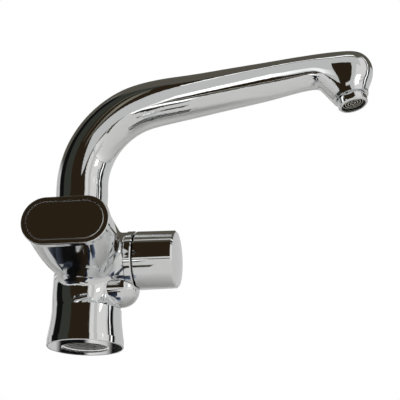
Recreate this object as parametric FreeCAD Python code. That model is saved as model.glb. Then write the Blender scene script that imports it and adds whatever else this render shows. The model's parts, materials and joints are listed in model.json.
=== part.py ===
import FreeCAD, Part
import math
import os

V = FreeCAD.Vector
UP = V(0, 0, 1)
FRONT = V(0, -1, 0)
SIDE = V(1, 0, 0)

# Clearances between pieces
RUN = 0.05
SEAT = 0.3
SLIP = 0.4

# Column and foot, origin at the middle of the base rim
COLUMN_R = 25.0
FOOT_LIP = 2.5
FOOT_R = COLUMN_R + FOOT_LIP
FOOT_RIM_H = 5.0
FOOT_FLARE_H = 22.0
FOOT_EDGE = 0.5
FLARE_SHARES = [(0.35, 0.52), (0.7, 0.14)]
AXIS_Z = 74.5
SEAT_RISE = 31.5
SEAT_Z = AXIS_Z + SEAT_RISE
SEAT_INSET = 4.4
SEAT_R = COLUMN_R - SEAT_INSET
SEAT_X = -8.2
SEAT_EDGE = 0.6

# Rings of the column and its shoulder that leans over to the seat: share of the way, height and radius
LOW_RING_DROP = 19.5
SHOULDER_H = 26.0
SHOULDER_INSET = 2.8
COLUMN_RINGS = [
    (0.0, AXIS_Z - LOW_RING_DROP, COLUMN_R),
    (0.0, SEAT_Z - SHOULDER_H, COLUMN_R),
    (0.5, SEAT_Z - SHOULDER_H / 2, COLUMN_R - SHOULDER_INSET),
]

# Open base: M34 x 1.5 mouth and the chamber above it
MOUTH_R = 17.0
MOUTH_L = 12.0
CHAMBER_R = 19.5
CHAMBER_TOP_Z = 32.0

# Inlets and outlet, M10 x 1
PORT_R = 5.0
PORT_L = 11.0
INLET_X = 8.0
INLET_Y = -5.0
OUTLET_X = 1.0
OUTLET_Y = 9.5
DUCT_R = 3.2
SIDE_DUCT_R = 1.6
SIDE_DUCT_DROP = 4.5
SIDE_DUCT_OUT = 0.8
OUT_DUCT_X = -3.0

# Neck and its end face
NECK_END = 59.0
NECK_W = 60.2
NECK_H = 32.2
NECK_ROOT_Y = 6.0
NECK_ROOT_INSET = 1.0
NECK_ROOT_H = 45.0
NECK_ROOT_DROP = 7.5
NECK_START_OVER = 3.0
NECK_START_H = 45.5
NECK_START_DROP = 6.3
NECK_MID_L = 17.0
NECK_MID_OVER = 0.3
NECK_MID_H = 40.0
NECK_MID_DROP = 3.1
NECK_SECTIONS = [
    (NECK_ROOT_Y, 2 * (COLUMN_R - NECK_ROOT_INSET), NECK_ROOT_H, AXIS_Z - NECK_ROOT_DROP),
    (COLUMN_R, 2 * (COLUMN_R + NECK_START_OVER), NECK_START_H, AXIS_Z - NECK_START_DROP),
    (COLUMN_R + NECK_MID_L, NECK_W + NECK_MID_OVER, NECK_MID_H, AXIS_Z - NECK_MID_DROP),
    (NECK_END, NECK_W, NECK_H, AXIS_Z),
]
NECK_BLEND = 8.0

# Handle: stadium outline, depth and front recess
HANDLE_W = 62.6
HANDLE_H = 34.6
HANDLE_T = 5.4
HANDLE_EDGE = 0.8
PLATE_BAND = 3.3
PLATE_T = 1.6
PLATE_BEVEL = 0.7
PLATE_GAP = 0.1
HUB_R = 9.0
HUB_L = 7.0

# Mixing cartridge, measured forward from the column axis
CART_FLOOR = 20.0
CART_R = 12.5
CART_BASE_T = 5.0
CART_DISC_T = 3.0
CART_DISC_R = 10.0
CART_DISC_SLACK = 0.8
CART_POCKET_D = 1.4
CART_WALL = 2.0
CART_SHELL_L = 21.0
CART_GUIDE_R = 8.0
CART_GUIDE_L = 6.0
CART_NUT_T = 5.0
NUT_SLOT_D = 2.0
NUT_SLOT_W = 3.0
CART_PORT_R = 2.4
CART_PORT_X = 5.5
CART_PORT_DROP = 2.5
CART_OUT_RISE = 4.6
CART_OUT_R = 3.0
SEAL_T = 1.2
SEAL_W = 1.1
CARRIER_T = 4.0
CARRIER_HUB_R = 6.5
CARRIER_HUB_L = 7.5
KEY_FLATS = 7.0
STEM_R = 5.0
STEM_KEY_L = 10.5
STEM_TAIL_FLATS = 8.0
STEM_TAIL_L = 8.5
HANDLE_SCREW_R = 2.0
HANDLE_SCREW_HEAD_R = 3.6
HANDLE_SCREW_HEAD_T = 2.2
HANDLE_SCREW_L = 9.0
SCREW_KEY = 2.5
SCREW_KEY_D = 1.6

# Side valve branch, measured along X from the column axis
VALVE_DROP = 11.4
VALVE_Z = AXIS_Z - VALVE_DROP
BRANCH_R = 21.0
BRANCH_BLEND = 6.0
BRANCH_L = 5.0
BRANCH_END = COLUMN_R + BRANCH_L
VALVE_FLOOR = 14.0
VALVE_BORE_R = 10.5
VALVE_PORT_R = 3.0
VALVE_SEAL_T = 2.0
VALVE_DISC_T = 2.5
VALVE_DISC_R = 8.0
VALVE_DISC_SLACK = 0.2
VALVE_HOLE_OUT = 4.2
VALVE_HOLE_R = 2.4
HEADWORK_THREAD_L = 9.5
HEADWORK_WALL = 0.9
WINDOW_W = 3.0
WINDOW_H = 5.0
HEX_FLATS = 23.0
HEX_T = 3.5
GUIDE_R = 6.5
GUIDE_L = 6.0
GUIDE_END = BRANCH_END + GUIDE_L
SPINDLE_R = 4.5
SPINDLE_FLANGE_T = 2.5
SPLINE_R = 4.0
SPLINE_TEETH = 20
SPLINE_DEPTH = 0.35
COLLAR_FLANGE_T = 1.5
COLLAR_R = 21.6
COLLAR_EDGE = 0.8
COLLAR_L = 5.8
COLLAR_END = BRANCH_END + COLLAR_L
COLLAR_BORE_R = 14.2

# Boss for the outlet passage under the branch
BOSS_OUT = 0.2
BOSS_DROP = 21.3
BOSS_X = COLUMN_R + BOSS_OUT
BOSS_Z = VALVE_Z - BOSS_DROP
BOSS_R = 13.2
BOSS_BLEND = 1.0

# Knob
KNOB_GAP = 0.6
KNOB_START = COLLAR_END + KNOB_GAP
KNOB_R = 21.3
KNOB_END_R = 20.9
KNOB_L = 29.4
KNOB_END = KNOB_START + KNOB_L
KNOB_EDGE = 1.2
KNOB_HUB_R = 8.5
KNOB_HUB_L = 18.1
KNOB_HUB_END = KNOB_START + KNOB_HUB_L
KNOB_FLOOR_T = 7.6
KNOB_POCKET_START = KNOB_START + KNOB_FLOOR_T
KNOB_WALL = 3.2
SPLINE_IN = 12.1
SPLINE_END = KNOB_START + SPLINE_IN
KNOB_SCREW_IN = 2.8
KNOB_SCREW_X = KNOB_START + KNOB_SCREW_IN
KNOB_SCREW_R = 1.4
KNOB_SCREW_L = 8.0
KNOB_SCREW_KEY = 1.5
CAP_R = 19.0
CAP_T = 2.4
CAP_DOME = 1.8

# Spout: bent tube, swung towards the front at rest
SWING_DEG = 9.0
SPOUT_R = 19.3
SPOUT_BEND_R = 17.5
SPOUT_TIP_R = 12.7
SPOUT_WALL = 3.0
RISER_L = 17.6
RISER_TOP_Z = SEAT_Z + RISER_L
BEND_RADIUS = 59.4
ARM_RISE_DEG = 3.8
ARM_L = 123.0
SPOUT_GAP = 0.5
BEND_STEPS = 6
ARM_STEPS = 4

# Nose and nozzle, measured from the end of the straight arm
NOSE_X = 27.3
NOSE_Z = -6.3
NOSE_R = 16.3
SLANT_START = 3.0
NOZZLE_X = 26.2
NOZZLE_Z = -25.9
NOZZLE_TILT_DEG = 10.4
NOZZLE_R = 12.7
# Sections across the nose: share of the slanted underside, angle on the round nose and side radius
NOSE_RAYS = [
    (0.3, 94, 14.8),
    (0.58, 48, 15.4),
    (0.78, 8, 15.0),
    (0.91, -28, 13.8),
]

# Spout swivel
SPIGOT_R = 15.0
SPIGOT_L = 23.0
SPIGOT_BORE_R = 10.5
SOCKET_FLOOR_GAP = 1.0
BUSH_R = 16.6
BUSH_L = 8.0
BUSH_FLANGE_R = 18.2
KEEP_HOLE_L = 20.0
RING_WIRE_R = 1.0
RING_GROOVE_D = 2.0
RING_LOW = 9.5
RING_HIGH = 13.2
KEEP_GROOVE = 4.4
KEEP_GROOVE_W = 3.6
KEEP_GROOVE_R = 13.0
KEEP_SCREW_R = 2.5
KEEP_TIP_R = 1.4
KEEP_SCREW_L = 6.0

# Aerator, M20 x 1
AERATOR_THREAD_R = 10.0
AERATOR_THREAD_L = 6.0
AERATOR_R = 10.7
AERATOR_L = 6.2
AERATOR_BORE_R = 9.2
AERATOR_LIP = 0.4
AERATOR_GROOVE_W = 0.6
AERATOR_EDGE = 0.3
AERATOR_FACE_T = 0.8
AERATOR_FLATS = 20.0
AERATOR_FLAT_L = 3.8
GRILLE_RINGS = 4
GRILLE_RIB_T = 0.7
GRILLE_RIBS = 6
GRILLE_T = 2.4
GRILLE_INSET = 1.0
GRILLE_HUB_R = 1.2
GRILLE_CUP_L = 8.0
GRILLE_CUP_T = 1.0
WASHER_T = 1.5
WASHER_BORE_R = 7.8


def rod(r, start, end, axis, base):
    return Part.makeCylinder(r, end - start, base + axis * start, axis)


def tube(r_out, r_in, start, end, axis, base):
    return rod(r_out, start, end, axis, base).cut(rod(r_in, start - 1, end + 1, axis, base))


def hexagon(flats, start, end, axis, base):
    # Prism with the given width across flats
    corner_r = flats / math.sqrt(3)
    helper = V(0, 0, 1) if abs(axis.z) < 0.9 else V(1, 0, 0)
    u = axis.cross(helper).normalize()
    w = axis.cross(u).normalize()
    points = []
    for i in range(7):
        a = math.radians(60 * i)
        points.append(base + axis * start + u * (corner_r * math.cos(a)) + w * (corner_r * math.sin(a)))
    return Part.Face(Part.makePolygon(points)).extrude(axis * (end - start))


def turned(points, axis, base):
    # Revolves an outline of (radius, distance along the axis) pairs
    helper = V(0, 0, 1) if abs(axis.z) < 0.9 else V(1, 0, 0)
    u = axis.cross(helper).normalize()
    spots = [base + axis * d + u * r for r, d in points]
    spots.append(spots[0])
    return Part.Face(Part.makePolygon(spots)).revolve(base, axis, 360)


def ring(centre_r, wire_r, distance, axis, base):
    return Part.makeTorus(centre_r, wire_r, base + axis * distance, axis)


def stadium_wire(width, height, y, z):
    # Obround outline in a plane that faces the front
    r = height / 2
    half = width / 2 - r
    top_left = V(-half, y, z + r)
    top_right = V(half, y, z + r)
    low_right = V(half, y, z - r)
    low_left = V(-half, y, z - r)
    edges = [
        Part.makeLine(top_left, top_right),
        Part.Arc(top_right, V(half + r, y, z), low_right).toShape(),
        Part.makeLine(low_right, low_left),
        Part.Arc(low_left, V(-half - r, y, z), top_left).toShape(),
    ]
    return Part.Wire(edges)


def stadium(width, height, start, end, z):
    return Part.Face(stadium_wire(width, height, -start, z)).extrude(FRONT * (end - start))


MIX = V(0, 0, AXIS_Z)
VALVE = V(0, 0, VALVE_Z)
ORIGIN = V(0, 0, 0)

# Places that follow from the driving dimensions
FLARE_TOP_Z = FOOT_RIM_H + FOOT_FLARE_H
SPOUT = V(SEAT_X, 0, 0)
CART_DISC_START = CART_FLOOR + CART_BASE_T
CART_MOVING_START = CART_DISC_START + CART_DISC_T
CARRIER_START = CART_MOVING_START + CART_DISC_T
CART_SHELL_END = CART_DISC_START + CART_SHELL_L
CART_GUIDE_END = CART_SHELL_END + CART_GUIDE_L
HANDLE_BACK = NECK_END + SLIP
HANDLE_FACE = HANDLE_BACK + HANDLE_T
HUB_START = HANDLE_BACK - HUB_L
KEY_START = CARRIER_START + 1.5
KEY_END = KEY_START + STEM_KEY_L
TAIL_END = HUB_START + STEM_TAIL_L
SOCKET_FLOOR_Z = SEAT_Z + SPOUT_GAP - SPIGOT_L - SOCKET_FLOOR_GAP
SPIGOT_LOW_Z = SOCKET_FLOOR_Z + SOCKET_FLOOR_GAP
HEADWORK_START = VALVE_FLOOR + VALVE_SEAL_T
VALVE_MOVING_START = HEADWORK_START + VALVE_DISC_T
SPINDLE_START = VALVE_MOVING_START + VALVE_DISC_T
HEADWORK_BORE_R = VALVE_DISC_R + SEAT
HEX_START = BRANCH_END + COLLAR_FLANGE_T


def foot_outline():
    wire = [
        Part.makeLine(V(0, 0, 0), V(FOOT_R - FOOT_EDGE, 0, 0)),
        Part.makeLine(V(FOOT_R - FOOT_EDGE, 0, 0), V(FOOT_R, 0, FOOT_EDGE)),
        Part.makeLine(V(FOOT_R, 0, FOOT_EDGE), V(FOOT_R, 0, FOOT_RIM_H)),
    ]
    points = [V(FOOT_R, 0, FOOT_RIM_H)]
    for up, out in FLARE_SHARES:
        points.append(V(COLUMN_R + (FOOT_R - COLUMN_R) * out, 0, FOOT_RIM_H + FOOT_FLARE_H * up))
    points.append(V(COLUMN_R, 0, FLARE_TOP_Z))
    flare = Part.BSplineCurve()
    flare.interpolate(points)
    wire += [
        flare.toShape(),
        Part.makeLine(V(COLUMN_R, 0, FLARE_TOP_Z), V(0, 0, FLARE_TOP_Z)),
        Part.makeLine(V(0, 0, FLARE_TOP_Z), V(0, 0, 0)),
    ]
    return Part.Wire(wire)


def level_circle(x, z, r):
    # Ring with its seam at the back
    ring_edge = Part.Circle(V(0, 0, 0), UP, r).toShape()
    wire = Part.Wire([ring_edge])
    wire.rotate(ORIGIN, UP, 90)
    wire.translate(V(x, 0, z))
    return wire


def column_solid():
    foot = Part.Face(foot_outline()).revolve(ORIGIN, UP, 360)
    foot.rotate(ORIGIN, UP, 90)
    rings = [level_circle(0, FLARE_TOP_Z, COLUMN_R)]
    rings += [level_circle(SEAT_X * share, z, r) for share, z, r in COLUMN_RINGS]
    rings.append(level_circle(SEAT_X, SEAT_Z, SEAT_R))
    upper = Part.makeLoft(rings, True, False)
    top_edge = [e for e in upper.Edges if abs(e.CenterOfMass.z - SEAT_Z) < 0.01 and len(e.Vertexes) == 1]
    upper = upper.makeFillet(SEAT_EDGE, top_edge)
    return foot.fuse(upper)


def neck_solid():
    # Lofted from a tall root inside the column to the stadium end face
    wires = [stadium_wire(width, height, -out, z) for out, width, height, z in NECK_SECTIONS]
    return Part.makeLoft(wires, True, False)


def domed_rod(r, length, axis, base):
    # Rod with a half ball on its end
    tip = V(0, 0, length + r)
    side = V(r, 0, length)
    mid = V(r * math.sin(math.pi / 4), 0, length + r * math.cos(math.pi / 4))
    edges = [
        Part.makeLine(V(0, 0, 0), V(r, 0, 0)),
        Part.makeLine(V(r, 0, 0), side),
        Part.Arc(side, mid, tip).toShape(),
        Part.makeLine(tip, V(0, 0, 0)),
    ]
    shape = Part.Face(Part.Wire(edges)).revolve(ORIGIN, UP, 360)
    shape.Placement = FreeCAD.Placement(base, FreeCAD.Rotation(UP, axis))
    return shape


def on_skin(solid, point):
    return solid.isInside(point, 0.02, True) and not solid.isInside(point, 0.01, False)


def blended(first, second, radius):
    # Joins two solids and rounds the seam that runs between them
    joined = first.fuse(second)
    seam = []
    for edge in joined.Edges:
        spots = edge.discretize(5)[1:4]
        if all(on_skin(first, p) and on_skin(second, p) for p in spots):
            seam.append(edge)
    return joined.makeFillet(radius, seam)


def tap_body():
    column = column_solid()
    branch = rod(BRANCH_R, 0, BRANCH_END, SIDE, VALVE)
    boss = domed_rod(BOSS_R, BOSS_X, SIDE, V(0, 0, BOSS_Z))
    boss = boss.cut(rod(COLLAR_R + SEAT, BRANCH_END, BOSS_X + 2 * BOSS_R, SIDE, VALVE))
    body = blended(column, branch, BRANCH_BLEND)
    body = blended(body, neck_solid(), NECK_BLEND)
    body = blended(body, boss, BOSS_BLEND)
    body = body.cut(rod(MOUTH_R, -1, MOUTH_L, UP, ORIGIN))
    body = body.cut(rod(CHAMBER_R, MOUTH_L, CHAMBER_TOP_Z, UP, ORIGIN))
    ducts_top = AXIS_Z - CART_PORT_DROP
    for x in (-INLET_X, INLET_X):
        inlet = V(x, INLET_Y, 0)
        body = body.cut(rod(PORT_R, CHAMBER_TOP_Z - 1, CHAMBER_TOP_Z + PORT_L, UP, inlet))
        body = body.cut(rod(DUCT_R, CHAMBER_TOP_Z, ducts_top, UP, inlet))
        port = V(math.copysign(CART_PORT_X, x), 0, ducts_top)
        body = body.cut(rod(CART_PORT_R, -INLET_Y - 1, CART_FLOOR + 1, FRONT, port))
    outlet = V(OUTLET_X, OUTLET_Y, 0)
    side_duct = V(0, VALVE_DISC_R + SIDE_DUCT_OUT, VALVE_Z - SIDE_DUCT_DROP)
    body = body.cut(rod(PORT_R, CHAMBER_TOP_Z - 1, CHAMBER_TOP_Z + PORT_L, UP, outlet))
    body = body.cut(rod(DUCT_R, CHAMBER_TOP_Z, side_duct.z, UP, outlet))
    body = body.cut(rod(SIDE_DUCT_R, OUTLET_X, VALVE_FLOOR + 1, SIDE, side_duct))
    body = body.cut(rod(VALVE_PORT_R, INLET_X, VALVE_FLOOR + 1, SIDE, V(0, 0, VALVE_Z)))
    # Cartridge bore, valve bore and spout socket
    body = body.cut(rod(CART_R + RUN, CART_FLOOR, NECK_END + 1, FRONT, MIX))
    body = body.cut(rod(VALVE_BORE_R, VALVE_FLOOR, BRANCH_END + 1, SIDE, VALVE))
    body = body.cut(rod(SPIGOT_R + RUN, SOCKET_FLOOR_Z, SEAT_Z + 1, UP, SPOUT))
    body = body.cut(rod(BUSH_R, SEAT_Z - BUSH_L, SEAT_Z + 1, UP, SPOUT))
    up_duct = V(0, 0, AXIS_Z + CART_OUT_RISE)
    body = body.cut(rod(CART_OUT_R, 0, CART_FLOOR + 1, FRONT, up_duct))
    body = body.cut(rod(DUCT_R, up_duct.z - 2, SOCKET_FLOOR_Z + 1, UP, V(OUT_DUCT_X, 0, 0)))
    # Threaded hole for the screw that keeps the spout
    keep = V(SEAT_X, 0, SPIGOT_LOW_Z + KEEP_GROOVE)
    body = body.cut(rod(KEEP_SCREW_R, SPIGOT_R - 1, SPIGOT_R + KEEP_HOLE_L, V(0, 1, 0), keep))
    return body


def cartridge_base():
    base = rod(CART_R, CART_FLOOR, CART_DISC_START, FRONT, MIX)
    for x, z, r in port_places():
        hole = V(x, 0, AXIS_Z + z)
        base = base.cut(rod(r, CART_FLOOR - 1, CART_DISC_START + 1, FRONT, hole))
        base = base.cut(rod(r + SEAL_W, CART_FLOOR - 1, CART_FLOOR + SEAL_T, FRONT, hole))
    return base


def port_places():
    return [
        (-CART_PORT_X, -CART_PORT_DROP, CART_PORT_R),
        (CART_PORT_X, -CART_PORT_DROP, CART_PORT_R),
        (0, CART_OUT_RISE, CART_OUT_R),
    ]


def cartridge_seals():
    seals = []
    for x, z, r in port_places():
        hole = V(x, 0, AXIS_Z + z)
        seals.append(tube(r + SEAL_W, r + RUN, CART_FLOOR, CART_FLOOR + SEAL_T, FRONT, hole))
    return Part.makeCompound(seals)


def cartridge_disc_fixed():
    disc = rod(CART_DISC_R, CART_DISC_START, CART_MOVING_START, FRONT, MIX)
    for x, z, r in port_places():
        disc = disc.cut(rod(r, CART_DISC_START - 1, CART_MOVING_START + 1, FRONT, V(x, 0, AXIS_Z + z)))
    return disc


def cartridge_disc_moving():
    # The pocket in its back face joins the ports
    disc = rod(CART_DISC_R - CART_DISC_SLACK, CART_MOVING_START, CARRIER_START, FRONT, MIX)
    pocket_end = CART_MOVING_START + CART_POCKET_D
    for z in (AXIS_Z, AXIS_Z + CART_OUT_RISE):
        disc = disc.cut(rod(CART_PORT_R, CART_MOVING_START - 1, pocket_end, FRONT, V(0, 0, z)))
    return disc


def cartridge_carrier():
    flange = rod(CART_DISC_R, CARRIER_START, CARRIER_START + CARRIER_T, FRONT, MIX)
    hub_end = CARRIER_START + CARRIER_T + CARRIER_HUB_L
    hub = rod(CARRIER_HUB_R, CARRIER_START, hub_end, FRONT, MIX)
    socket = hexagon(KEY_FLATS + 2 * RUN, CARRIER_START + 1, hub_end + 1, FRONT, MIX)
    return flange.fuse(hub).removeSplitter().cut(socket)


def mixing_cartridge():
    shell = rod(CART_R, CART_DISC_START, CART_SHELL_END, FRONT, MIX)
    shell = shell.fuse(rod(CART_GUIDE_R, CART_DISC_START, CART_GUIDE_END, FRONT, MIX))
    shell = shell.cut(rod(CART_DISC_R + RUN, CART_DISC_START - 1, CART_SHELL_END - CART_WALL, FRONT, MIX))
    return shell.cut(rod(STEM_R + RUN, CART_DISC_START, CART_GUIDE_END + 1, FRONT, MIX)).removeSplitter()


def cartridge_nut():
    nut = tube(CART_R, CART_GUIDE_R + RUN, CART_SHELL_END, CART_SHELL_END + CART_NUT_T, FRONT, MIX)
    # Two slots for the face spanner
    slot = Part.makeBox(2 * CART_R + 2, NUT_SLOT_D, NUT_SLOT_W)
    slot.translate(V(-CART_R - 1, -CART_SHELL_END - CART_NUT_T, AXIS_Z - NUT_SLOT_W / 2))
    return nut.cut(slot)


def cartridge_stem():
    stem = hexagon(KEY_FLATS, KEY_START, KEY_END, FRONT, MIX)
    stem = stem.fuse(rod(STEM_R, KEY_END, HUB_START, FRONT, MIX))
    stem = stem.fuse(hexagon(STEM_TAIL_FLATS, HUB_START, TAIL_END, FRONT, MIX))
    screw_start = HANDLE_FACE - PLATE_T - HANDLE_SCREW_L
    return stem.cut(rod(HANDLE_SCREW_R + RUN, screw_start - 0.5, TAIL_END + 1, FRONT, MIX)).removeSplitter()


def handle_shell():
    shell = stadium(HANDLE_W, HANDLE_H, HANDLE_BACK, HANDLE_FACE, AXIS_Z)
    front_edges = [e for e in shell.Edges if abs(e.CenterOfMass.y + HANDLE_FACE) < 0.01]
    shell = shell.makeFillet(HANDLE_EDGE, front_edges)
    plate_w = HANDLE_W - 2 * PLATE_BAND
    plate_h = HANDLE_H - 2 * PLATE_BAND
    shell = shell.cut(stadium(plate_w, plate_h, HANDLE_FACE - PLATE_T, HANDLE_FACE + 1, AXIS_Z))
    shell = shell.fuse(rod(HUB_R, HUB_START, HANDLE_BACK + 1, FRONT, MIX))
    shell = shell.cut(hexagon(STEM_TAIL_FLATS + 2 * RUN, HUB_START - 1, TAIL_END + SEAT, FRONT, MIX))
    shell = shell.cut(rod(HANDLE_SCREW_R + SEAT, HUB_START, HANDLE_FACE, FRONT, MIX))
    head_seat = HANDLE_FACE - PLATE_T - HANDLE_SCREW_HEAD_T
    return shell.cut(rod(HANDLE_SCREW_HEAD_R + SEAT, head_seat, HANDLE_FACE, FRONT, MIX)).removeSplitter()


def handle_plate():
    gap = 2 * (PLATE_BAND + PLATE_GAP)
    plate = stadium(HANDLE_W - gap, HANDLE_H - gap, HANDLE_FACE - PLATE_T, HANDLE_FACE, AXIS_Z)
    front_edges = [e for e in plate.Edges if abs(e.CenterOfMass.y + HANDLE_FACE) < 0.01]
    return plate.makeChamfer(PLATE_BEVEL, front_edges)


def handle_screw():
    head_end = HANDLE_FACE - PLATE_T
    head_seat = head_end - HANDLE_SCREW_HEAD_T
    screw = rod(HANDLE_SCREW_R, head_end - HANDLE_SCREW_L, head_seat, FRONT, MIX)
    screw = screw.fuse(rod(HANDLE_SCREW_HEAD_R, head_seat, head_end, FRONT, MIX))
    return screw.cut(hexagon(SCREW_KEY, head_end - SCREW_KEY_D, head_end + 1, FRONT, MIX)).removeSplitter()


def valve_seal():
    return tube(VALVE_DISC_R, VALVE_PORT_R + 1, VALVE_FLOOR, HEADWORK_START, SIDE, VALVE)


def with_disc_holes(disc, start, end):
    # Two facing holes as on a quarter turn disc
    for out in (-VALVE_HOLE_OUT, VALVE_HOLE_OUT):
        disc = disc.cut(rod(VALVE_HOLE_R, start, end, SIDE, V(0, 0, VALVE_Z + out)))
    return disc


def valve_disc_fixed():
    disc = rod(VALVE_DISC_R, HEADWORK_START, VALVE_MOVING_START, SIDE, VALVE)
    return with_disc_holes(disc, HEADWORK_START - 1, VALVE_MOVING_START + 1)


def valve_disc_moving():
    disc = rod(VALVE_DISC_R - VALVE_DISC_SLACK, VALVE_MOVING_START, SPINDLE_START, SIDE, VALVE)
    disc = with_disc_holes(disc, VALVE_MOVING_START - 1, SPINDLE_START + 1)
    disc.rotate(VALVE, SIDE, 90)
    return disc


def valve_headwork():
    thread_start = BRANCH_END - HEADWORK_THREAD_L
    body = rod(HEADWORK_BORE_R + HEADWORK_WALL, HEADWORK_START, HEX_START, SIDE, VALVE)
    body = body.fuse(rod(VALVE_BORE_R, thread_start, BRANCH_END, SIDE, VALVE))
    body = body.fuse(rod(VALVE_BORE_R - RUN, BRANCH_END, HEX_START, SIDE, VALVE))
    body = body.fuse(hexagon(HEX_FLATS, HEX_START, HEX_START + HEX_T, SIDE, VALVE))
    body = body.fuse(rod(GUIDE_R, HEX_START, GUIDE_END, SIDE, VALVE))
    bore_end = SPINDLE_START + SPINDLE_FLANGE_T + RUN
    body = body.cut(rod(HEADWORK_BORE_R, HEADWORK_START - 1, bore_end, SIDE, VALVE))
    body = body.cut(rod(SPINDLE_R + RUN, HEADWORK_START, GUIDE_END + 1, SIDE, VALVE))
    # Two windows that let the water out at the sides
    window = Part.makeBox(WINDOW_W, 2 * VALVE_BORE_R, WINDOW_H)
    window.translate(V(HEADWORK_START + SEAT, -VALVE_BORE_R, VALVE_Z - WINDOW_H / 2))
    return body.cut(window).removeSplitter()


def valve_spindle():
    flange_end = SPINDLE_START + SPINDLE_FLANGE_T
    spindle = rod(VALVE_DISC_R - VALVE_DISC_SLACK, SPINDLE_START, flange_end, SIDE, VALVE)
    spindle = spindle.fuse(rod(SPINDLE_R, flange_end, KNOB_START, SIDE, VALVE))
    spline = rod(SPLINE_R, KNOB_START, SPLINE_END, SIDE, VALVE)
    for i in range(SPLINE_TEETH):
        tooth_gap = rod(SPLINE_DEPTH, KNOB_SCREW_X + 4, SPLINE_END + 1, SIDE, V(0, 0, VALVE_Z + SPLINE_R))
        tooth_gap.rotate(VALVE, SIDE, 360 * (i + 0.5) / SPLINE_TEETH)
        spline = spline.cut(tooth_gap)
    return spindle.fuse(spline).removeSplitter()


def valve_collar():
    return turned(
        [
            (VALVE_BORE_R, BRANCH_END),
            (COLLAR_R - COLLAR_EDGE, BRANCH_END),
            (COLLAR_R, BRANCH_END + COLLAR_EDGE),
            (COLLAR_R, COLLAR_END - COLLAR_EDGE),
            (COLLAR_R - COLLAR_EDGE, COLLAR_END),
            (COLLAR_BORE_R, COLLAR_END),
            (COLLAR_BORE_R, HEX_START),
            (VALVE_BORE_R, HEX_START),
        ],
        SIDE,
        VALVE,
    )


def knob():
    recess = KNOB_END - CAP_T
    body = turned(
        [
            (SPLINE_R, KNOB_START),
            (KNOB_R - KNOB_EDGE, KNOB_START),
            (KNOB_R, KNOB_START + KNOB_EDGE),
            (KNOB_END_R, KNOB_END - KNOB_EDGE),
            (KNOB_END_R - KNOB_EDGE, KNOB_END),
            (CAP_R, KNOB_END),
            (CAP_R, recess),
            (KNOB_R - KNOB_WALL, recess),
            (KNOB_R - KNOB_WALL, KNOB_POCKET_START),
            (KNOB_HUB_R, KNOB_POCKET_START),
            (KNOB_HUB_R, KNOB_HUB_END),
            (SPLINE_R, KNOB_HUB_END),
        ],
        SIDE,
        VALVE,
    )
    screw_hole = rod(KNOB_SCREW_R, SPLINE_R - 1, KNOB_R + 1, FRONT, V(KNOB_SCREW_X, 0, VALVE_Z))
    return body.cut(screw_hole)


def knob_cap():
    edge_r = CAP_R - RUN
    low = V(0, 0, KNOB_END - CAP_T)
    low_edge = V(edge_r, 0, KNOB_END - CAP_T)
    rim = V(edge_r, 0, KNOB_END)
    crown = V(0, 0, KNOB_END + CAP_DOME)
    # The dome is part of a ball with its middle on the axis
    ball_r = (edge_r ** 2 + CAP_DOME ** 2) / (2 * CAP_DOME)
    halfway = V(edge_r / 2, 0, crown.z - ball_r + math.sqrt(ball_r ** 2 - edge_r ** 2 / 4))
    outline = [
        Part.makeLine(low, low_edge),
        Part.makeLine(low_edge, rim),
        Part.Arc(rim, halfway, crown).toShape(),
        Part.makeLine(crown, low),
    ]
    cap = Part.Face(Part.Wire(outline)).revolve(ORIGIN, UP, 360)
    cap.rotate(ORIGIN, V(0, 1, 0), 90)
    cap.translate(V(0, 0, VALVE_Z))
    return cap


def knob_screw():
    place = V(KNOB_SCREW_X, 0, VALVE_Z)
    end = SPLINE_R + KNOB_SCREW_L
    screw = rod(KNOB_SCREW_R, SPLINE_R, end, FRONT, place)
    return screw.cut(hexagon(KNOB_SCREW_KEY, end - KNOB_SCREW_KEY, end + 1, FRONT, place))


def ellipse_wire(centre_x, centre_z, lean_deg, in_plane_r, side_r):
    # Ring round the path, leaning about Y; the sections all start on the same side
    big = max(in_plane_r, side_r + 0.0001)
    oval = Part.Ellipse(V(0, 0, 0), big, side_r)
    wire = Part.Wire([oval.toShape()])
    wire.rotate(ORIGIN, V(0, 1, 0), lean_deg)
    wire.translate(V(centre_x, 0, centre_z))
    return wire


def spout_sections(wall):
    # Sections along riser, bend, straight arm and nose, each (x, z, lean, in plane radius, side radius)
    low = SEAT_Z + SPOUT_GAP
    sections = [(0, low, 0, SPOUT_R, SPOUT_R), (0, RISER_TOP_Z, 0, SPOUT_R, SPOUT_R)]
    end_lean = 90 - ARM_RISE_DEG
    for i in range(1, BEND_STEPS + 1):
        lean = end_lean * i / BEND_STEPS
        a = math.radians(lean)
        r = SPOUT_R + (SPOUT_BEND_R - SPOUT_R) * i / BEND_STEPS
        x = BEND_RADIUS * (1 - math.cos(a))
        z = RISER_TOP_Z + BEND_RADIUS * math.sin(a)
        sections.append((x, z, lean, r, r))
    rise = math.radians(ARM_RISE_DEG)
    start_x, start_z = sections[-1][0], sections[-1][1]
    for i in range(1, ARM_STEPS + 1):
        share = i / ARM_STEPS
        r = SPOUT_BEND_R + (SPOUT_TIP_R - SPOUT_BEND_R) * share
        x = start_x + ARM_L * share * math.cos(rise)
        z = start_z + ARM_L * share * math.sin(rise)
        sections.append((x, z, end_lean, r, r))
    sections += nose_sections(sections[-1][0], sections[-1][1])
    return [(x, z, lean, a - wall, b - wall) for x, z, lean, a, b in sections]


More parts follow.
